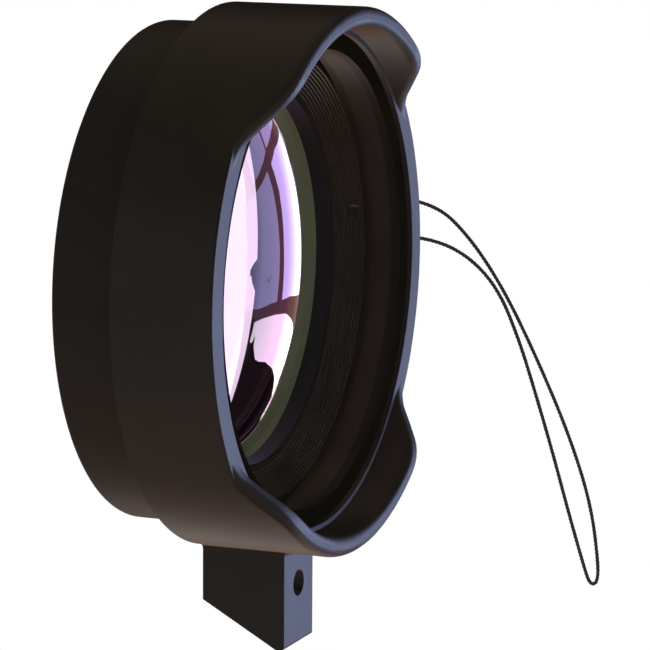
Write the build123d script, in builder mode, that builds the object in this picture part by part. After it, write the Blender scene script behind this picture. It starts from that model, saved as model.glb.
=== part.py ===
from build123d import *
from math import cos, pi, radians, sin, sqrt, tan
import os

# Underwater macro lens that pushes onto the round port of a compact camera housing.
# Millimetres. The optical axis is Y: the front looks along -Y and the camera's port comes in from +Y.
# +Z is up, the carrying tab hangs down along -Z, and the origin is the centre of the rear mouth.
# Stations along the axis are given as distances in front of the rear mouth.

# Clearances
slide_gap = 0.05
thread_gap = 0.05
glass_gap = 0.05
cement_gap = 0.02
seal_gap = 0.02

# Push-on sleeve. The bore fits the round port of the camera's housing
port_diameter = 64.0
port_depth = 6.3
sleeve_wall = 3.1
skirt_length = 7.0
skirt_wall = 1.5
sleeve_mouth_round = 0.3
barb_height = 0.5
barb_width = 1.4
barb_setback = 3.2

# Barrel
thread_wall = 3.2
seat_width = 5.65
flange_width = 1.8
flange_thickness = 0.8
relief_reach = 0.6
relief_length = 2.0
relief_depth = 1.1
nose_step = 0.4
nose_wall = 1.75
nose_length = 3.35
nose_bore_length = 3.45
nose_chamfer = 0.3

# Glass, from the rear
gasket_thickness = 0.3
gasket_width = 1.3
glass_bevel = 0.2
rear_edge = 1.3
rear_curve_radius = 178.0
spacer_thickness = 0.5
spacer_width = 0.9
middle_edge = 0.6
middle_curve_radius = 124.0
cement_curve_radius = 100.0
front_edge = 0.93
front_curve_radius = 58.6
land_width = 1.3
seal_section = 1.48

# Clamp ring that holds the glass down
clamp_seat_rise = 0.45
clamp_plug_length = 0.7
clamp_lip_height = 0.15
clamp_bevel_width = 1.1
clamp_bevel_depth = 0.8
clamp_cone_width = 0.45
clamp_cone_depth = 0.8

# Baffle ring with its stepped cone
baffle_bore_length = 2.7
baffle_foot_width = 0.75
baffle_cone_depth = 3.0
baffle_steps = 10
baffle_rim_width = 0.3
baffle_collar_length = 1.2
baffle_collar_step = 0.55
spanner_hole_diameter = 2.0
spanner_hole_inset = 2.6
spanner_hole_floor = 1.2
spanner_hole_angle = 10.5

# Front ring, screwed over the barrel's nose
front_ring_thickness = 1.45
front_ring_overhang = 0.35
front_ring_dish = 0.15

# Hood
hood_wall = 2.85
hood_overlap = 3.4
lip_width = 0.65
lip_height = 0.8
lobe_height = 5.6
recess_half_height = 21.5
petal_slope_width = 6.8
petal_bend_radius = 6.4
rim_round = 1.1
rim_edge_round = 0.25

# Carrying tab, moulded under the hood. Its heights are taken from the hood's surface
tab_length = 11.1
tab_front_width = 10.8
tab_rear_width = 16.3
tab_toe_height = 14.6
tab_heel_height = 7.0
tab_toe_round = 0.6
tab_heel_round = 1.2
tab_edge_round = 0.45
tab_root_round = 0.9
tab_hole_diameter = 3.86
tab_hole_height = 5.3
tab_hole_depth = 8.0

# Wrist cord, its two holes through the hood and the crimped beads that stop its ends
cord_diameter = 0.6
cord_hole_diameter = 1.0
cord_hole_inset = 2.0
cord_hole_angles = (9.0, 0.6)
cord_lead = 3.4
cord_plane_angle = 42.0
bead_diameter = 2.2
bead_length = 1.2
bead_pocket_diameter = 2.8
bead_pocket_depth = 1.5


def sagitta(radius, half_width):
    """Depth of a spherical surface across the given half width."""
    return radius - sqrt(radius**2 - half_width**2)


# Radii that follow, from the port inwards to the glass and outwards again to the hood
port_radius = port_diameter / 2
barrel_radius = port_radius + sleeve_wall
spigot_radius = barrel_radius - skirt_wall
thread_bore_radius = barrel_radius - thread_wall
thread_radius = thread_bore_radius - thread_gap
glass_bore_radius = thread_bore_radius - seat_width
glass_radius = glass_bore_radius - glass_gap
seal_bore_radius = glass_radius + seal_section + glass_gap
flange_bore_radius = glass_radius - flange_width
curve_half_width = glass_radius - spacer_width
clear_radius = glass_radius - land_width
clamp_bevel_radius = clear_radius + clamp_bevel_width
baffle_bore_radius = clamp_bevel_radius + clamp_cone_width
cone_small_radius = baffle_bore_radius + baffle_foot_width
spanner_circle_radius = cone_small_radius + spanner_hole_inset
collar_radius = thread_radius - baffle_collar_step
cone_radius = collar_radius - baffle_rim_width
nose_bore_radius = thread_bore_radius + nose_step
nose_radius = nose_bore_radius + nose_wall
relief_radius = nose_bore_radius + relief_depth
front_ring_bore_radius = nose_bore_radius - front_ring_overhang
hood_bore_radius = barrel_radius + slide_gap
hood_radius = hood_bore_radius + hood_wall
lip_bore_radius = hood_bore_radius - lip_width

# Stations that follow, from the rear mouth to the tips of the hood's lobes
barb_rear = port_depth + barb_setback
barb_front = barb_rear + barb_width
sleeve_front = port_depth + skirt_length
flange_front = port_depth + flange_thickness
rear_face = flange_front + gasket_thickness
rear_land = rear_face + rear_edge
rear_vertex = rear_land + sagitta(rear_curve_radius, curve_half_width)
middle_land = rear_land + spacer_thickness
middle_vertex = middle_land + sagitta(middle_curve_radius, curve_half_width)
cement_edge = middle_land + middle_edge
cement_vertex = cement_edge + sagitta(cement_curve_radius, glass_radius)
land_front = cement_edge + cement_gap + front_edge
front_vertex = land_front + sagitta(front_curve_radius, clear_radius)
clamp_seat = land_front + clamp_seat_rise
clamp_plug_rear = clamp_seat - clamp_plug_length
seal_bore_floor = clamp_plug_rear - seal_gap - seal_section
clamp_bevel_front = land_front + clamp_lip_height + clamp_bevel_depth
baffle_rear = clamp_bevel_front + clamp_cone_depth
cone_rear = baffle_rear + baffle_bore_length
baffle_front = cone_rear + baffle_cone_depth
collar_rear = baffle_front - baffle_collar_length
relief_front = baffle_front + relief_reach
relief_rear = relief_front - relief_length
nose_front = relief_front + nose_bore_length
nose_shoulder = nose_front - nose_length
front_ring_face = nose_front + front_ring_thickness
recess_front = front_ring_face + lip_height
lobe_front = recess_front + lobe_height
hood_rear = sleeve_front - hood_overlap
tab_front = hood_rear + tab_length
cord_hole_setback = sleeve_front + cord_hole_inset

# Other sizes of the hood and its tab that follow
lobe_half_height = recess_half_height + petal_slope_width
tab_toe_drop = hood_radius + tab_toe_height
tab_heel_drop = hood_radius + tab_heel_height
tab_hole_drop = hood_radius + tab_hole_height


def radial_plane(angle, radius):
    """Plane square to the radius at the cord holes' station, facing outwards."""
    outwards = Vector(cos(radians(angle)), 0, sin(radians(angle)))
    return Plane(origin=outwards * radius + Vector(0, -cord_hole_setback, 0), z_dir=outwards)


os.makedirs("parts", exist_ok=True)

# Push-on sleeve: the port bore behind, and a thin skirt stretched over the barrel's barb in front
with BuildPart() as port_sleeve:
    with BuildSketch(Plane.XY):
        with BuildLine():
            Polyline(
                (port_radius, 0),
                (barrel_radius, 0),
                (barrel_radius, -sleeve_front),
                (spigot_radius, -sleeve_front),
                (spigot_radius, -barb_front - slide_gap),
                (spigot_radius + barb_height + slide_gap, -barb_front),
                (spigot_radius + barb_height + slide_gap, -barb_rear + slide_gap),
                (spigot_radius, -barb_rear + slide_gap),
                (spigot_radius, -port_depth),
                (port_radius, -port_depth),
                close=True,
            )
        make_face()
        fillet(vertices().group_by(Axis.Y)[-1].sort_by(Axis.X)[-1], radius=sleeve_mouth_round)
    revolve(axis=Axis.Y)
port_sleeve.part.label = "port_sleeve"
export_step(port_sleeve.part, "parts/port_sleeve.step")

# Barrel: a turned tube with the glass seat behind, the baffle's thread bore, a relief and a threaded nose
with BuildPart() as lens_barrel:
    with BuildSketch(Plane.XY):
        with BuildLine():
            Polyline(
                (flange_bore_radius, -port_depth),
                (spigot_radius, -port_depth),
                (spigot_radius, -barb_rear),
                (spigot_radius + barb_height, -barb_rear),
                (spigot_radius, -barb_front),
                (spigot_radius, -sleeve_front),
                (barrel_radius, -sleeve_front),
                (barrel_radius, -nose_shoulder),
                (nose_radius, -nose_shoulder),
                (nose_radius, -nose_front),
                (nose_bore_radius + nose_chamfer, -nose_front),
                (nose_bore_radius, nose_chamfer - nose_front),
                (nose_bore_radius, -relief_front),
                (relief_radius, -relief_front),
                (relief_radius, -relief_rear),
                (thread_bore_radius, -relief_rear),
                (thread_bore_radius, -clamp_seat),
                (seal_bore_radius, -clamp_seat),
                (seal_bore_radius, -seal_bore_floor),
                (glass_bore_radius, -seal_bore_floor),
                (glass_bore_radius, -flange_front),
                (flange_bore_radius, -flange_front),
                close=True,
            )
        make_face()
    revolve(axis=Axis.Y)
    # Two shallow pockets under the hood, where the cord's beads lie
    for angle in cord_hole_angles:
        with BuildSketch(radial_plane(angle, barrel_radius + slide_gap)):
            Circle(bead_pocket_diameter / 2)
        extrude(amount=-bead_pocket_depth - slide_gap, mode=Mode.SUBTRACT)
lens_barrel.part.label = "lens_barrel"
export_step(lens_barrel.part, "parts/lens_barrel.step")

# Front ring: a slightly dished face with a threaded skirt over the barrel's nose
with BuildPart() as front_ring:
    with BuildSketch(Plane.XY):
        with BuildLine():
            Polyline(
                (front_ring_bore_radius, -nose_front),
                (nose_radius + thread_gap, -nose_front),
                (nose_radius + thread_gap, -nose_shoulder),
                (barrel_radius, -nose_shoulder),
                (barrel_radius, -front_ring_face),
                (lip_bore_radius, -front_ring_face),
                (front_ring_bore_radius, front_ring_dish - front_ring_face),
                close=True,
            )
        make_face()
    revolve(axis=Axis.Y)
front_ring.part.label = "front_ring"
export_step(front_ring.part, "parts/front_ring.step")

# Baffle ring: threaded outside, with a stepped cone that traps stray light and two blind spanner holes
with BuildPart() as baffle_ring:
    step_width = (cone_radius - cone_small_radius) / baffle_steps
    step_depth = baffle_cone_depth / baffle_steps
    stairs = [(cone_radius, -baffle_front)]
    for step in range(1, baffle_steps + 1):
        stairs.append((cone_radius - (step - 1) * step_width, step * step_depth - baffle_front))
        stairs.append((cone_radius - step * step_width, step * step_depth - baffle_front))
    with BuildSketch(Plane.XY):
        with BuildLine():
            Polyline(
                *stairs,
                (baffle_bore_radius, -cone_rear),
                (baffle_bore_radius, -baffle_rear),
                (thread_radius, -baffle_rear),
                (thread_radius, -collar_rear),
                (collar_radius, -collar_rear),
                (collar_radius, -baffle_front),
                close=True,
            )
        make_face()
    revolve(axis=Axis.Y)
    with BuildSketch(Plane.XZ.offset(baffle_front)):
        with PolarLocations(spanner_circle_radius, 2, start_angle=spanner_hole_angle):
            Circle(spanner_hole_diameter / 2)
    extrude(amount=baffle_rear + spanner_hole_floor - baffle_front, mode=Mode.SUBTRACT)
baffle_ring.part.label = "baffle_ring"
export_step(baffle_ring.part, "parts/baffle_ring.step")

# Clamp ring: a flange under the baffle ring, a plug that closes the seal's groove, a bevelled lip on the glass
with BuildPart() as clamp_ring:
    with BuildSketch(Plane.XY):
        with BuildLine():
            Polyline(
                (clear_radius, -land_front),
                (clear_radius, -land_front - clamp_lip_height),
                (clamp_bevel_radius, -clamp_bevel_front),
                (baffle_bore_radius, -baffle_rear),
                (thread_radius, -baffle_rear),
                (thread_radius, -clamp_seat),
                (seal_bore_radius - slide_gap, -clamp_seat),
                (seal_bore_radius - slide_gap, -clamp_plug_rear),
                (glass_bore_radius, -clamp_plug_rear),
                (glass_bore_radius, -land_front),
                close=True,
            )
        make_face()
    revolve(axis=Axis.Y)
clamp_ring.part.label = "clamp_ring"
export_step(clamp_ring.part, "parts/clamp_ring.step")

# Front glass: a strong meniscus, convex to the front, with a ground land under the clamp ring's lip
with BuildPart() as front_element:
    with BuildSketch(Plane.XY):
        with BuildLine():
            RadiusArc((0, -front_vertex), (clear_radius, -land_front), -front_curve_radius)
            Polyline(
                (clear_radius, -land_front),
                (glass_radius, -land_front),
                (glass_radius, -cement_edge - cement_gap),
            )
            RadiusArc(
                (glass_radius, -cement_edge - cement_gap),
                (0, -cement_vertex - cement_gap),
                cement_curve_radius,
            )
            Line((0, -cement_vertex - cement_gap), (0, -front_vertex))
        make_face()
    revolve(axis=Axis.Y)
front_element.part.label = "front_element"
export_step(front_element.part, "parts/front_element.step")

# Middle glass: a weak meniscus cemented behind the front one
with BuildPart() as middle_element:
    with BuildSketch(Plane.XY):
        with BuildLine():
            RadiusArc((0, -cement_vertex), (glass_radius, -cement_edge), -cement_curve_radius)
            Polyline(
                (glass_radius, -cement_edge),
                (glass_radius, -middle_land),
                (curve_half_width, -middle_land),
            )
            RadiusArc((curve_half_width, -middle_land), (0, -middle_vertex), middle_curve_radius)
            Line((0, -middle_vertex), (0, -cement_vertex))
        make_face()
    revolve(axis=Axis.Y)
middle_element.part.label = "middle_element"
export_step(middle_element.part, "parts/middle_element.step")

# Spacer between the cemented pair and the rear glass
with BuildPart() as element_spacer:
    with BuildSketch(Plane.XZ.offset(rear_land)):
        Circle(glass_radius)
        Circle(glass_radius - spacer_width, mode=Mode.SUBTRACT)
    extrude(amount=spacer_thickness)
element_spacer.part.label = "element_spacer"
export_step(element_spacer.part, "parts/element_spacer.step")

# Rear glass: flat behind, gently convex in front
with BuildPart() as rear_element:
    with BuildSketch(Plane.XY):
        with BuildLine():
            RadiusArc((0, -rear_vertex), (curve_half_width, -rear_land), -rear_curve_radius)
            Polyline(
                (curve_half_width, -rear_land),
                (glass_radius, -rear_land),
                (glass_radius, -rear_face - glass_bevel),
                (glass_radius - glass_bevel, -rear_face),
                (0, -rear_face),
                (0, -rear_vertex),
            )
        make_face()
    revolve(axis=Axis.Y)
rear_element.part.label = "rear_element"
export_step(rear_element.part, "parts/rear_element.step")

# Flat gasket between the rear glass and the barrel's flange
with BuildPart() as rear_gasket:
    with BuildSketch(Plane.XZ.offset(flange_front)):
        Circle(glass_radius - glass_bevel)
        Circle(glass_radius - glass_bevel - gasket_width, mode=Mode.SUBTRACT)
    extrude(amount=gasket_thickness)
rear_gasket.part.label = "rear_gasket"
export_step(rear_gasket.part, "parts/rear_gasket.step")

# Round seal in the groove between barrel, front glass and clamp ring
with BuildPart() as front_seal:
    with BuildSketch(Plane.XY):
        with Locations((glass_radius + (seal_section + glass_gap) / 2, -seal_bore_floor - seal_section / 2)):
            Circle(seal_section / 2)
    revolve(axis=Axis.Y)
front_seal.part.label = "front_seal"
export_step(front_seal.part, "parts/front_seal.step")

# Block of the hood's carrying tab: wider behind in plan, with a foot that rises towards the rear
with BuildPart() as tab_block:
    with BuildSketch(Plane.XY.offset(-hood_bore_radius)):
        with BuildLine():
            Polyline(
                (-tab_rear_width / 2, -hood_rear),
                (-tab_front_width / 2, -tab_front),
                (tab_front_width / 2, -tab_front),
                (tab_rear_width / 2, -hood_rear),
                close=True,
            )
        make_face()
        fillet(vertices().group_by(Axis.Y)[0], radius=tab_edge_round)
    extrude(amount=hood_bore_radius - tab_toe_drop)
    with BuildSketch(Plane.YZ):
        with BuildLine():
            Polyline(
                (-hood_rear, -hood_bore_radius),
                (-hood_rear, -tab_heel_drop),
                (-tab_front, -tab_toe_drop),
                (-tab_front, -hood_bore_radius),
                close=True,
            )
        make_face()
        foot_corners = vertices().sort_by(Axis.Y)
        fillet(foot_corners[0], radius=tab_toe_round)
        fillet(foot_corners[1], radius=tab_heel_round)
    extrude(amount=tab_rear_width, both=True, mode=Mode.INTERSECT)

# Hood: a tube cut to a petal rim, with an inner lip and the carrying tab
with BuildPart() as hood:
    with BuildSketch(Plane.XZ.offset(hood_rear)):
        Circle(hood_radius)
        Circle(hood_bore_radius, mode=Mode.SUBTRACT)
    extrude(amount=lobe_front + rim_round - hood_rear)

    # What is cut away in front, seen from the side: low at the sides, with a soft bend up to each lobe
    clear_of_hood = hood_radius + rim_round
    with BuildSketch(Plane.YZ):
        with BuildLine():
            FilletPolyline(
                (-lobe_front, -clear_of_hood),
                (-lobe_front, -lobe_half_height),
                (-recess_front, -recess_half_height),
                (-recess_front, recess_half_height),
                (-lobe_front, lobe_half_height),
                (-lobe_front, clear_of_hood),
                radius=petal_bend_radius,
            )
            Polyline(
                (-lobe_front, clear_of_hood),
                (-lobe_front - 2 * rim_round, clear_of_hood),
                (-lobe_front - 2 * rim_round, -clear_of_hood),
                (-lobe_front, -clear_of_hood),
            )
        make_face()
    extrude(amount=clear_of_hood, both=True, mode=Mode.SUBTRACT)
    rim_edges = edges().filter_by(GeomType.LINE, reverse=True)
    fillet(rim_edges.filter_by(lambda edge: edge.center().Y < -hood_rear - rim_round), radius=rim_round)

    # Flat band level with the low part of the rim, with the lip inside. Its outer edge is crisp on the low sides
    # and runs out into the rounded slopes
    with BuildSketch(Plane.XY):
        with BuildLine():
            Polyline(
                (lip_bore_radius, -front_ring_face),
                (hood_bore_radius, -front_ring_face),
                (hood_bore_radius, rim_round - recess_front),
                (hood_radius, rim_round - recess_front),
                (hood_radius, -recess_front),
                (lip_bore_radius, -recess_front),
                close=True,
            )
        make_face()
        fillet(vertices().group_by(Axis.Y)[0].sort_by(Axis.X)[-1], radius=rim_edge_round)
    revolve(axis=Axis.Y)

    # The tab, blended into the wall, with its blind hole in front
    add(tab_block.part)
    root_edges = edges().filter_by(
        lambda edge: -hood_radius - tab_root_round < edge.center().Z < -hood_bore_radius
        and -tab_front - tab_root_round < edge.center().Y < -hood_rear - tab_root_round
    )
    fillet(root_edges, radius=tab_root_round)
    with BuildSketch(Plane.XZ.offset(tab_front)):
        with Locations((0, -tab_hole_drop)):
            Circle(tab_hole_diameter / 2)
    extrude(amount=-tab_hole_depth, mode=Mode.SUBTRACT)

    # Two fine holes through the wall for the cord
    for angle in cord_hole_angles:
        with BuildSketch(radial_plane(angle, hood_radius)):
            Circle(cord_hole_diameter / 2)
        extrude(amount=-hood_wall - slide_gap, mode=Mode.SUBTRACT)
hood.part.label = "hood"
export_step(hood.part, "parts/hood.step")

# Cord: a loop hung from two holes, in an upright plane that swings forward from the hood's side.
# Each point of the two strands is a reach along that plane and a height.
upper_strand = [
    (12.0, 4.85), (18.0, -0.65), (24.0, -9.05), (30.0, -20.25), (35.85, -32.6), (40.0, -44.0), (41.6, -54.2),
]
fold = [(41.3, -56.85), (40.05, -56.8)]
lower_strand = [
    (39.0, -54.1), (36.15, -45.4), (32.75, -34.4), (29.65, -25.2), (26.95, -17.5), (23.2, -9.15), (18.0, -3.65),
    (11.5, -0.45),
]


def hanging_point(reach, height):
    """A point of the cord from its reach along the hanging plane and its height."""
    swing = radians(cord_plane_angle)
    return Vector(hood_radius + reach * cos(swing), -cord_hole_setback - reach * sin(swing), height)


bead_face = barrel_radius - slide_gap
ends = []
for angle in cord_hole_angles:
    ends.append([radial_plane(angle, bead_face).origin, radial_plane(angle, hood_radius + cord_lead).origin])
strands = [hanging_point(*point) for point in upper_strand + fold + lower_strand]
cord_points = ends[0] + strands + ends[1][::-1]

cord_radii = []
for before, corner, after in zip(cord_points, cord_points[1:], cord_points[2:]):
    run_in, run_out = corner - before, after - corner
    half_turn = radians(run_in.get_angle(run_out)) / 2
    cord_radii.append(0.45 * min(run_in.length, run_out.length) / tan(half_turn))

with BuildPart() as lanyard_cord:
    with BuildLine():
        route = FilletPolyline(*cord_points, radius=cord_radii)
    with BuildSketch(Plane(origin=route @ 0, z_dir=route % 0)):
        Circle(cord_diameter / 2)
    sweep()
lanyard_cord.part.label = "lanyard_cord"
export_step(lanyard_cord.part, "parts/lanyard_cord.step")

# Two crimped beads, each in its pocket in the barrel with the cord's end face on it
with BuildPart() as cord_beads:
    for angle in cord_hole_angles:
        with BuildSketch(radial_plane(angle, bead_face)):
            Circle(bead_diameter / 2)
        extrude(amount=-bead_length)
cord_beads.part.label = "cord_beads"
export_step(cord_beads.part, "parts/cord_beads.step")

print("cord length", round(route.length, 2))
print("cord section times length", round(pi * (cord_diameter / 2) ** 2 * route.length, 2))
print("cord volume", round(lanyard_cord.part.volume, 2))
print("cord radii", [round(radius, 2) for radius in cord_radii])
print("cord runs", [round((b - a).length, 1) for a, b in zip(cord_points, cord_points[1:])])
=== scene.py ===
import math

import bpy
from mathutils import Matrix, Vector


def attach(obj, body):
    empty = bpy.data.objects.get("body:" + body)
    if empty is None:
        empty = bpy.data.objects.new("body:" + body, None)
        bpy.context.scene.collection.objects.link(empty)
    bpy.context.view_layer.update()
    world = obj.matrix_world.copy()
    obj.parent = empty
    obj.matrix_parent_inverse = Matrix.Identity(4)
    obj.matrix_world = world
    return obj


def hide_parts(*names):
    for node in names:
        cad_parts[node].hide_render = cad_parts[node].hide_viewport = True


# Underwater macro lens: a black moulded hood with a petal rim around a coated close-up lens, with a push-on
# sleeve behind, a carrying tab below and a thin wrist cord. The optical axis is Y, and the front looks along -Y

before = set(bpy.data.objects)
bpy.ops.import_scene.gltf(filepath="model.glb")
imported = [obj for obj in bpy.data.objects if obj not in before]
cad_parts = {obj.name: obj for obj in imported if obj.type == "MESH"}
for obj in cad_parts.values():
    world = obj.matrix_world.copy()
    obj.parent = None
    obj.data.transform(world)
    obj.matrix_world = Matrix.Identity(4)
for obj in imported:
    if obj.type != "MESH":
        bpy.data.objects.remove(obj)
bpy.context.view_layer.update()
bpy.ops.object.select_all(action="DESELECT")
scene = bpy.context.scene
scene.view_settings.view_transform = "Standard"
MM = 0.001

# Camera, at the photograph's place: from the front left, a little above
AIM = Vector((0, -15.3 * MM, 0))
AZIMUTH = math.radians(-66.768)
ELEVATION = math.radians(8.986)
ROLL = math.radians(0.198)
DISTANCE = 493.92 * MM

turn = (
    Matrix.Rotation(AZIMUTH, 4, "Z")
    @ Matrix.Rotation(math.pi / 2 - ELEVATION, 4, "X")
    @ Matrix.Rotation(ROLL, 4, "Z")
)
bpy.ops.object.camera_add()
camera = bpy.context.object
camera.name = "camera"
camera.matrix_world = Matrix.Translation(AIM) @ turn @ Matrix.Translation((0, 0, DISTANCE))
camera.data.sensor_width = 36
camera.data.lens = 196.16
camera.data.shift_x = 0.0963
camera.data.shift_y = -0.0757
camera.data.clip_start = 0.01
scene.camera = camera

# Wrist cord, one loop hung from two holes in the hood's far side. Reaches and heights in millimetres along the
# upright plane in which it hangs
HOOD_RADIUS = 38.0
CORD_HOLE_SETBACK = 15.3
CORD_DIAMETER = 0.6
BEAD_FACE = 35.05
CORD_LEAD = 3.4
SWING = math.radians(42)
UPPER_STRAND = [
    (12.0, 4.85), (18.0, -0.65), (24.0, -9.05), (30.0, -20.25), (35.85, -32.6), (40.0, -44.0), (41.6, -54.2),
]
FOLD = [(41.3, -56.85), (40.05, -56.8)]
LOWER_STRAND = [
    (39.0, -54.1), (36.15, -45.4), (32.75, -34.4), (29.65, -25.2), (26.95, -17.5), (23.2, -9.15), (18.0, -3.65),
    (11.5, -0.45),
]


def hanging_point(reach, height):
    """A point of the cord from its reach along the hanging plane and its height."""
    across, forward = reach * math.cos(SWING), reach * math.sin(SWING)
    return Vector((HOOD_RADIUS + across, -CORD_HOLE_SETBACK - forward, height)) * MM


def hole_point(angle, radius):
    """A point on the line of one of the hood's cord holes."""
    turned = math.radians(angle)
    return Vector((radius * math.cos(turned), -CORD_HOLE_SETBACK, radius * math.sin(turned))) * MM


upper_end = [hole_point(9.0, BEAD_FACE), hole_point(9.0, HOOD_RADIUS + CORD_LEAD)]
lower_end = [hole_point(0.6, HOOD_RADIUS + CORD_LEAD), hole_point(0.6, BEAD_FACE)]
cord_route = upper_end + [hanging_point(*p) for p in UPPER_STRAND + FOLD + LOWER_STRAND] + lower_end

STRANDS = 3
STRAND_RADIUS = 0.17
STRAND_OFFSET = CORD_DIAMETER / 2 - STRAND_RADIUS
TWIST_PITCH = 1.9


def curve_of(name, kind, *lines):
    """A 3-D curve object, in no collection, with one spline for each list of points."""
    curve = bpy.data.curves.new(name, "CURVE")
    curve.dimensions = "3D"
    for line in lines:
        spline = curve.splines.new(kind)
        spline.points.add(len(line) - 1)
        for point, place in zip(spline.points, line):
            point.co = (*place, 1)
    return bpy.data.objects.new(name, curve)


def twisted(line, phase):
    """The line of one strand, wound round the cord's own line."""
    wound = []
    across = Vector((0, 0, 1))
    reach = 0.0
    for i, point in enumerate(line):
        along = (line[min(i + 1, len(line) - 1)] - line[max(i - 1, 0)]).normalized()
        across = (across - along * across.dot(along)).normalized()
        reach += (point - line[max(i - 1, 0)]).length
        angle = phase + math.tau * reach / (TWIST_PITCH * MM)
        out = across * math.cos(angle) + along.cross(across) * math.sin(angle)
        wound.append(point + out * STRAND_OFFSET * MM)
    return wound


route = curve_of("cord_route", "NURBS", cord_route)
route.data.resolution_u = 60
route.data.splines[0].order_u = 3
route.data.splines[0].use_endpoint_u = True
cord_line = [corner.co.copy() for corner in bpy.data.meshes.new_from_object(route).vertices]

strands = curve_of("strands", "POLY", *(twisted(cord_line, math.tau * i / STRANDS) for i in range(STRANDS)))
strands.data.bevel_depth = STRAND_RADIUS * MM
strands.data.bevel_resolution = 1
strands.data.use_fill_caps = True
cord_mesh = bpy.data.meshes.new_from_object(strands)
cord_mesh.name = "wrist_cord"
wrist_cord = bpy.data.objects.new("wrist_cord", cord_mesh)
scene.collection.objects.link(wrist_cord)
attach(wrist_cord, "root")
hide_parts("lanyard_cord")


def linear(colour):
    """Turns an sRGB colour such as "#2b2a28" into linear red, green, blue and full alpha."""
    channels = [int(colour[i : i + 2], 16) / 255 for i in (1, 3, 5)]
    return [c / 12.92 if c <= 0.04045 else ((c + 0.055) / 1.055) ** 2.4 for c in channels] + [1.0]


def add_node(tree, kind, inputs=None, **settings):
    """Adds one node with its settings, and fills its inputs with values or with links from other nodes."""
    node = tree.nodes.new(kind)
    for name, value in settings.items():
        setattr(node, name, value)
    for name, value in (inputs or {}).items():
        if isinstance(value, bpy.types.NodeSocket):
            tree.links.new(value, node.inputs[name])
        else:
            node.inputs[name].default_value = value
    return node


def new_material(name):
    """Starts a material with an empty node tree, and gives the material, its tree and its output node."""
    material = bpy.data.materials.new(name)
    material.use_nodes = True
    material.node_tree.nodes.clear()
    return material, material.node_tree, add_node(material.node_tree, "ShaderNodeOutputMaterial")


def give(material, *nodes):
    """Puts a material on every face of the named CAD nodes."""
    for name in nodes:
        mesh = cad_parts[name].data
        mesh.materials.clear()
        mesh.materials.append(material)


# Glass-filled nylon, injection moulded in a spark-eroded mould: deep warm black, satin, with an even fine grain
hood_nylon, tree, output = new_material("spark_grained_black_nylon")
place = add_node(tree, "ShaderNodeTexCoord").outputs["Object"]
patches = add_node(
    tree, "ShaderNodeTexNoise", {"Vector": place, "Scale": 1 / (14 * MM), "Detail": 3.0}
).outputs["Fac"]
# The grain is about 0.1 mm; drawn at 0.22 mm so that it shows
grain = add_node(
    tree, "ShaderNodeTexNoise", {"Vector": place, "Scale": 1 / (0.22 * MM), "Detail": 2.0}
).outputs["Fac"]
tint = add_node(tree, "ShaderNodeValToRGB", {"Fac": patches})
tint.color_ramp.elements[0].position = 0.35
tint.color_ramp.elements[0].color = linear("#201b15")
tint.color_ramp.elements[1].position = 0.7
tint.color_ramp.elements[1].color = linear("#28221b")
dullness = add_node(tree, "ShaderNodeMapRange", {"Value": patches, "To Min": 0.36, "To Max": 0.44})
relief = add_node(tree, "ShaderNodeBump", {"Height": grain, "Strength": 0.12, "Distance": 0.03 * MM})
shader = add_node(
    tree,
    "ShaderNodeBsdfPrincipled",
    {
        "Base Color": tint.outputs["Color"],
        "Roughness": dullness.outputs["Result"],
        "IOR": 1.5,
        "Specular IOR Level": 0.14,
        "Normal": relief.outputs["Normal"],
    },
)
tree.links.new(shader.outputs["BSDF"], output.inputs["Surface"])
give(hood_nylon, "hood")

# Silicone rubber, compression moulded: a shade softer and duller than the hood
sleeve_rubber, tree, output = new_material("moulded_black_silicone")
place = add_node(tree, "ShaderNodeTexCoord").outputs["Object"]
bloom = add_node(
    tree, "ShaderNodeTexNoise", {"Vector": place, "Scale": 1 / (9 * MM), "Detail": 4.0}
).outputs["Fac"]
tint = add_node(tree, "ShaderNodeValToRGB", {"Fac": bloom})
tint.color_ramp.elements[0].position = 0.3
tint.color_ramp.elements[0].color = linear("#1f1a15")
tint.color_ramp.elements[1].position = 0.75
tint.color_ramp.elements[1].color = linear("#26211b")
dullness = add_node(tree, "ShaderNodeMapRange", {"Value": bloom, "To Min": 0.46, "To Max": 0.56})
shader = add_node(
    tree,
    "ShaderNodeBsdfPrincipled",
    {
        "Base Color": tint.outputs["Color"],
        "Roughness": dullness.outputs["Result"],
        "IOR": 1.43,
        "Specular IOR Level": 0.14,
    },
)
tree.links.new(shader.outputs["BSDF"], output.inputs["Surface"])
give(sleeve_rubber, "port_sleeve")

# Nitrile rubber of the seals
seal_rubber, tree, output = new_material("nitrile_seal_rubber")
place = add_node(tree, "ShaderNodeTexCoord").outputs["Object"]
bloom = add_node(tree, "ShaderNodeTexNoise", {"Vector": place, "Scale": 1 / (2 * MM)}).outputs["Fac"]
dullness = add_node(tree, "ShaderNodeMapRange", {"Value": bloom, "To Min": 0.5, "To Max": 0.65})
shader = add_node(
    tree,
    "ShaderNodeBsdfPrincipled",
    {"Base Color": linear("#141414"), "Roughness": dullness.outputs["Result"], "IOR": 1.5},
)
tree.links.new(shader.outputs["BSDF"], output.inputs["Surface"])
give(seal_rubber, "front_seal", "rear_gasket")


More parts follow.
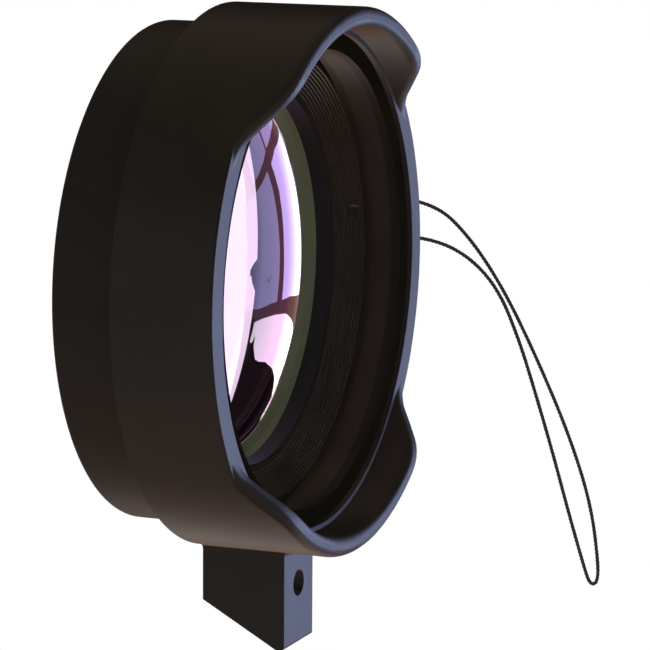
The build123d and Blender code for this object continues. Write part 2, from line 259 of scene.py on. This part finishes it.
def anodised(name, dark, light, pitch, dull, shine, painted_shade_radius=0.0, painted_bore_shade="#000000"):
    """Turned aluminium under a dyed black oxide skin: fine rings left by the tool, at a pitch in millimetres.

    Inside the given radius the skin is painted a dark green-black, as painted shade of the deep bore.
    """
    material, tree, output = new_material(name)
    place = add_node(tree, "ShaderNodeTexCoord").outputs["Object"]
    parts = add_node(tree, "ShaderNodeSeparateXYZ", {"Vector": place})
    flat = add_node(
        tree, "ShaderNodeCombineXYZ", {"X": parts.outputs["X"], "Y": parts.outputs["Z"]}
    ).outputs["Vector"]
    radius = add_node(tree, "ShaderNodeVectorMath", {0: flat}, operation="LENGTH").outputs["Value"]
    along = add_node(
        tree, "ShaderNodeMath", {0: radius, 1: parts.outputs["Y"]}, operation="ADD"
    ).outputs["Value"]
    turns = add_node(
        tree,
        "ShaderNodeTexNoise",
        {"W": along, "Scale": 1 / (pitch * MM), "Detail": 2.0},
        noise_dimensions="1D",
    ).outputs["Fac"]
    stain = add_node(
        tree, "ShaderNodeTexNoise", {"Vector": place, "Scale": 1 / (8 * MM), "Detail": 3.0}
    ).outputs["Fac"]
    tint = add_node(tree, "ShaderNodeValToRGB", {"Fac": stain})
    tint.color_ramp.elements[0].position = 0.3
    tint.color_ramp.elements[0].color = linear(dark)
    tint.color_ramp.elements[1].position = 0.75
    tint.color_ramp.elements[1].color = linear(light)
    # Painted shade: inside the radius the skin's colour turns dark green-black
    inside = add_node(
        tree, "ShaderNodeMath", {0: radius, 1: painted_shade_radius * MM}, operation="LESS_THAN"
    ).outputs["Value"]
    skin_with_painted_shade = add_node(
        tree, "ShaderNodeMixRGB", {"Fac": inside, "Color1": tint.outputs["Color"], "Color2": linear(painted_bore_shade)}
    ).outputs["Color"]
    dullness = add_node(
        tree, "ShaderNodeMapRange", {"Value": turns, "To Min": dull - 0.06, "To Max": dull + 0.06}
    )
    relief = add_node(tree, "ShaderNodeBump", {"Height": turns, "Strength": 0.15, "Distance": 0.02 * MM})
    shader = add_node(
        tree,
        "ShaderNodeBsdfPrincipled",
        {
            "Base Color": skin_with_painted_shade,
            "Roughness": dullness.outputs["Result"],
            "Specular IOR Level": shine,
            "Normal": relief.outputs["Normal"],
        },
    )
    tree.links.new(shader.outputs["BSDF"], output.inputs["Surface"])
    return material


give(anodised("black_anodised_barrel", "#2c261c", "#372f24", 0.3, 0.4, 0.1), "lens_barrel", "element_spacer")
give(anodised("black_anodised_front_ring", "#1e1b16", "#25211b", 0.3, 0.42, 0.06), "front_ring")
# The baffle's bore, inside 26.6 mm, is painted dark green-black: painted shade of the deep bore, not the oxide's
# own colour
give(anodised("black_anodised_baffle_painted_bore_shade", "#322c23", "#3d372c", 0.15, 0.38, 0.12, 26.6, "#10140c"), "baffle_ring")
# The clamp ring's light olive green is a painted reflection of the inner glass's green coating, not the ring's own
# black oxide
give(anodised("black_anodised_clamp_ring_painted_green_reflection", "#5c6446", "#6a7050", 0.2, 0.36, 0.2), "clamp_ring")


def lens_glass(name, bend, tint, stops):
    """Polished glass under an anti-reflection coating.

    Real glass bends light far more, by 1.5 to 1.6. The bend here is matched to where the photograph shows the rear
    mouth's edge. Light takes the tint at each face. Only the outer side mirrors, since a coated or cemented face
    gives next to nothing back from inside. A stop is a slant from 0, faced, to 1, edge on, with the share that is
    mirrored there and the coating's colour.
    """
    material, tree, output = new_material(name)
    slant = add_node(tree, "ShaderNodeLayerWeight", {"Blend": 0.5}).outputs["Facing"]
    coating = add_node(tree, "ShaderNodeValToRGB", {"Fac": slant})
    ramp = coating.color_ramp
    ramp.elements.remove(ramp.elements[1])
    for number, (position, share, colour) in enumerate(stops):
        stop = ramp.elements.new(position) if number else ramp.elements[0]
        stop.position = position
        stop.color = linear(colour)[:3] + [share]
    inside = add_node(tree, "ShaderNodeNewGeometry").outputs["Backfacing"]
    outside = add_node(tree, "ShaderNodeMath", {0: 1.0, 1: inside}, operation="SUBTRACT").outputs["Value"]
    share = add_node(
        tree, "ShaderNodeMath", {0: coating.outputs["Alpha"], 1: outside}, operation="MULTIPLY"
    ).outputs["Value"]
    through = add_node(
        tree, "ShaderNodeBsdfRefraction", {"Color": tint, "Roughness": 0.0, "IOR": bend}
    ).outputs["BSDF"]
    mirror = add_node(
        tree, "ShaderNodeBsdfGlossy", {"Color": coating.outputs["Color"], "Roughness": 0.02}
    ).outputs["BSDF"]
    shader = add_node(tree, "ShaderNodeMixShader", {0: share, 1: through, 2: mirror})
    tree.links.new(shader.outputs["Shader"], output.inputs["Surface"])
    return material


# Crown glass with a multi-layer coating: clear and faintly pink straight through, purple where it mirrors
PURPLE_COATING = [
    (0.0, 0.02, "#b09bff"),
    (0.5, 0.05, "#bcb3ff"),
    (0.58, 0.21, "#c4bcff"),
    (0.75, 0.32, "#d4afff"),
    (0.87, 0.45, "#f9f9ff"),
    (1.0, 1.0, "#ffffff"),
]
give(lens_glass("coated_crown_glass", 1.06, (1.0, 0.86, 1.0, 1.0), PURPLE_COATING), "front_element")

# Flint and crown glass of the inner lenses, with a faint green coating
GREEN_COATING = [(0.0, 0.01, "#9fc7a4"), (0.7, 0.02, "#b9d6bd"), (1.0, 0.3, "#ffffff")]
flint_glass = lens_glass("coated_flint_glass", 1.04, (1.0, 1.0, 1.0, 1.0), GREEN_COATING)
give(flint_glass, "middle_element", "rear_element")

# Twisted polyester cord: dull black, with lighter fluff on the strands
cord_polyester, tree, output = new_material("twisted_polyester_cord")
place = add_node(tree, "ShaderNodeTexCoord").outputs["Object"]
fuzz = add_node(
    tree, "ShaderNodeTexNoise", {"Vector": place, "Scale": 1 / (0.3 * MM), "Detail": 2.0}
).outputs["Fac"]
tint = add_node(tree, "ShaderNodeValToRGB", {"Fac": fuzz})
tint.color_ramp.elements[0].position = 0.35
tint.color_ramp.elements[0].color = linear("#141414")
tint.color_ramp.elements[1].position = 0.7
tint.color_ramp.elements[1].color = linear("#2c2c2e")
relief = add_node(tree, "ShaderNodeBump", {"Height": fuzz, "Strength": 0.5, "Distance": 0.04 * MM})
shader = add_node(
    tree,
    "ShaderNodeBsdfPrincipled",
    {
        "Base Color": tint.outputs["Color"],
        "Roughness": 0.7,
        "Sheen Weight": 0.1,
        "Normal": relief.outputs["Normal"],
    },
)
tree.links.new(shader.outputs["BSDF"], output.inputs["Surface"])
cord_mesh.materials.append(cord_polyester)

# Stainless steel of the crimped beads, tumbled
bead_steel, tree, output = new_material("tumbled_stainless_steel")
place = add_node(tree, "ShaderNodeTexCoord").outputs["Object"]
marks = add_node(tree, "ShaderNodeTexNoise", {"Vector": place, "Scale": 1 / (0.5 * MM)}).outputs["Fac"]
dullness = add_node(tree, "ShaderNodeMapRange", {"Value": marks, "To Min": 0.3, "To Max": 0.45})
shader = add_node(
    tree,
    "ShaderNodeBsdfPrincipled",
    {"Base Color": linear("#b9b6b0"), "Metallic": 1.0, "Roughness": dullness.outputs["Result"]},
)
tree.links.new(shader.outputs["BSDF"], output.inputs["Surface"])
give(bead_steel, "cord_beads")

# World: soft grey daylight on the object, under half of a plain level, and white wherever it is seen, mirrored or
# seen through glass
world = bpy.data.worlds.new("white_studio")
scene.world = world
world.use_nodes = True
tree = world.node_tree
tree.nodes.clear()
rays = add_node(tree, "ShaderNodeLightPath")
seen = add_node(
    tree,
    "ShaderNodeMath",
    {0: rays.outputs["Is Camera Ray"], 1: rays.outputs["Is Glossy Ray"]},
    operation="MAXIMUM",
)
shown = add_node(
    tree,
    "ShaderNodeMath",
    {0: seen.outputs["Value"], 1: rays.outputs["Is Transmission Ray"]},
    operation="MAXIMUM",
)
daylight = add_node(tree, "ShaderNodeBackground", {"Color": (0.9, 0.92, 1.0, 1), "Strength": 0.45})
white = add_node(tree, "ShaderNodeBackground", {"Color": (1, 1, 1, 1), "Strength": 1.0})
blend = add_node(
    tree,
    "ShaderNodeMixShader",
    {0: shown.outputs["Value"], 1: daylight.outputs["Background"], 2: white.outputs["Background"]},
)
add_node(tree, "ShaderNodeOutputWorld", {"Surface": blend.outputs["Shader"]})

# Floor: pale and plain, at table height under the hanging object, low enough that the glass mirrors the window over
# it. White far off, and with the shadow near it
bpy.ops.mesh.primitive_circle_add(vertices=96, radius=6, fill_type="TRIFAN", location=(0, 0, -0.75))
floor = bpy.context.object
floor.name = "floor"
floor_paper, tree, output = new_material("pale_paper_floor")
place = add_node(tree, "ShaderNodeTexCoord").outputs["Object"]
away = add_node(tree, "ShaderNodeVectorMath", {0: place}, operation="LENGTH").outputs["Value"]
far_off = add_node(
    tree, "ShaderNodeMapRange", {"Value": away, "From Min": 0.3, "From Max": 0.6}
).outputs["Result"]
rays = add_node(tree, "ShaderNodeLightPath")
seen = add_node(
    tree,
    "ShaderNodeMath",
    {0: rays.outputs["Is Camera Ray"], 1: rays.outputs["Is Glossy Ray"]},
    operation="MAXIMUM",
)
shown = add_node(
    tree,
    "ShaderNodeMath",
    {0: seen.outputs["Value"], 1: rays.outputs["Is Transmission Ray"]},
    operation="MAXIMUM",
)
whiteness = add_node(
    tree, "ShaderNodeMath", {0: shown.outputs["Value"], 1: far_off}, operation="MULTIPLY"
).outputs["Value"]
paper = add_node(tree, "ShaderNodeBsdfDiffuse", {"Color": linear("#e4e2de")})
white = add_node(tree, "ShaderNodeEmission", {"Color": (1, 1, 1, 1), "Strength": 1.0})
blend = add_node(
    tree, "ShaderNodeMixShader", {0: whiteness, 1: paper.outputs["BSDF"], 2: white.outputs["Emission"]}
)
tree.links.new(blend.outputs["Shader"], output.inputs["Surface"])
floor.data.materials.append(floor_paper)


def gather(name, *members):
    """A named set of objects, kept out of the scene's own list, for lamps that light only those."""
    chosen = bpy.data.collections.new(name)
    for member in members:
        chosen.objects.link(member)
    return chosen


def lamp(name, place, width, height, radiance, colour, lights=None):
    """A flat rectangular softbox aimed at the lens, with its brightness as seen in a mirror."""
    bpy.ops.object.light_add(type="AREA", location=place)
    box = bpy.context.object
    box.name = name
    box.data.shape = "RECTANGLE"
    box.data.size = width
    box.data.size_y = height
    box.data.energy = radiance * math.pi * width * height
    box.data.color = linear(colour)[:3]
    box.rotation_euler = (AIM - Vector(place)).to_track_quat("-Z", "Y").to_euler()
    box.visible_camera = False
    box.light_linking.receiver_collection = lights
    return box


# In the photograph the glass mirrors a window from edge to edge, also where the hood and the barrel would stand in
# the way, so no piece of the lens shows in a mirror image. This leaves true optics for the photograph's look
for name in ("hood", "port_sleeve", "lens_barrel", "front_ring", "baffle_ring", "clamp_ring", "cord_beads"):
    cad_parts[name].visible_glossy = False
wrist_cord.visible_glossy = False

# Cross window of the studio over a skyline, which the front glass alone mirrors. Corners are in metres across and
# up from the window's middle
WINDOW_AZIMUTH = math.radians(85)
WINDOW_HEIGHT = math.radians(-5)
WINDOW_DISTANCE = 1.0
towards = Vector(
    (
        math.sin(WINDOW_AZIMUTH) * math.cos(WINDOW_HEIGHT),
        -math.cos(WINDOW_AZIMUTH) * math.cos(WINDOW_HEIGHT),
        math.sin(WINDOW_HEIGHT),
    )
)
sideways = Vector((math.cos(WINDOW_AZIMUTH), math.sin(WINDOW_AZIMUTH), 0))
upwards = towards.cross(sideways)
# Each card is a depth behind the window's plane, a brightness, a colour and its corners
CARDS = {
    "window_frame": (0.004, 1.0, "#aa7c6f", [(-0.63, -0.2), (1.8, -0.2), (1.8, 0.5), (-0.63, 0.5)]),
    "pane_far_left": (
        0.0, 9.0, "#ffffff",
        [
            (-1.3, 0.5), (-0.46, 0.5), (-0.54, 0.22), (-0.61, 0.1), (-0.63, -0.03), (-0.6, -0.19), (-0.54, -0.31),
            (-0.46, -0.42), (-0.4, -0.5), (-1.3, -0.5),
        ],
    ),
    "pane_left": (
        0.0, 1.5, "#ffffff",
        [
            (-0.63, -0.19), (-0.41, -0.165), (-0.27, -0.141), (-0.17, -0.13), (-0.175, -0.03), (-0.19, 0.1),
            (-0.215, 0.148), (-0.37, 0.149), (-0.63, 0.15),
        ],
    ),
    "pane_right": (
        0.0, 3.0, "#ffffff",
        [
            (-0.09, -0.122), (0.06, -0.11), (0.45, -0.098), (1.8, -0.08), (1.8, 0.08), (0.45, 0.08), (0.21, 0.083),
            (-0.02, 0.132), (-0.13, 0.14), (-0.097, 0.078), (-0.108, -0.03),
        ],
    ),
    "pane_high_left": (0.0, 1.5, "#ffffff", [(-0.44, 0.176), (-0.157, 0.176), (-0.165, 0.5), (-0.44, 0.5)]),
    "pane_high_right": (
        0.0, 1.8, "#ffffff", [(-0.137, 0.175), (0.034, 0.148), (0.16, 0.12), (0.3, 0.3), (0.3, 0.5), (-0.137, 0.5)],
    ),
    "pane_low": (
        0.0, 5.6, "#fff3cb",
        [
            (-0.44, -0.205), (-0.31, -0.177), (-0.17, -0.156), (0.005, -0.139), (0.45, -0.125), (1.8, -0.12),
            (1.8, -0.18), (0.45, -0.19), (0.15, -0.215), (0.02, -0.228), (-0.14, -0.25), (-0.24, -0.272),
            (-0.3, -0.28), (-0.37, -0.262), (-0.39, -0.235), (-0.41, -0.26), (-0.44, -0.262),
        ],
    ),
}


def card(name, depth, brightness, colour, corners):
    """A flat luminous card on the window's plane, seen only in mirrors."""
    mesh = bpy.data.meshes.new(name)
    middle = AIM + towards * (WINDOW_DISTANCE + depth)
    mesh.from_pydata([middle + sideways * u + upwards * v for u, v in corners], [], [range(len(corners))])
    sheet = bpy.data.objects.new(name, mesh)
    scene.collection.objects.link(sheet)
    sheet.visible_camera = sheet.visible_diffuse = sheet.visible_shadow = sheet.visible_transmission = False
    material, tree, output = new_material(name + "_light")
    glow = add_node(tree, "ShaderNodeEmission", {"Color": linear(colour), "Strength": brightness})
    tree.links.new(glow.outputs["Emission"], output.inputs["Surface"])
    mesh.materials.append(material)
    return sheet


glass_alone = gather("glass_alone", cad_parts["front_element"])
for name, facts in CARDS.items():
    card(name, *facts).light_linking.receiver_collection = glass_alone
card("window_wall", 0.01, 1.0, "#241a1c", [(-2, -2.2), (2, -2.2), (2, 2.2), (-2, 2.2)])

# Cool daylight from the window's side on the hood's forward faces, whose rim shades the rings inside
hood_alone = gather("hood_alone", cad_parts["hood"])
lamp("cool_daylight", AIM + Vector((0.92, -0.39, -0.15)) * 1.1, 0.7, 0.6, 14.0, "#b9c4f5", hood_alone)

# Brown felt over the lens, which keeps the white studio out of the hood's sheen
bpy.ops.mesh.primitive_plane_add(size=3, location=(0, 0, 0.9))
ceiling = bpy.context.object
ceiling.name = "dark_ceiling"
for side in ("visible_camera", "visible_diffuse", "visible_shadow", "visible_transmission"):
    setattr(ceiling, side, False)
felt, tree, output = new_material("brown_felt")
paint = add_node(tree, "ShaderNodeEmission", {"Color": linear("#a39382"), "Strength": 1.0})
tree.links.new(paint.outputs["Emission"], output.inputs["Surface"])
ceiling.data.materials.append(felt)

# Warm light thrown up by a wooden floor, on the underside
other_nodes = [node for name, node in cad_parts.items() if name != "front_element"]
all_but_glass = gather("all_but_glass", floor, *other_nodes)
lamp("floor_bounce", (0.05, 0.05, -0.24), 0.7, 0.7, 0.34, "#ffa040", all_but_glass)
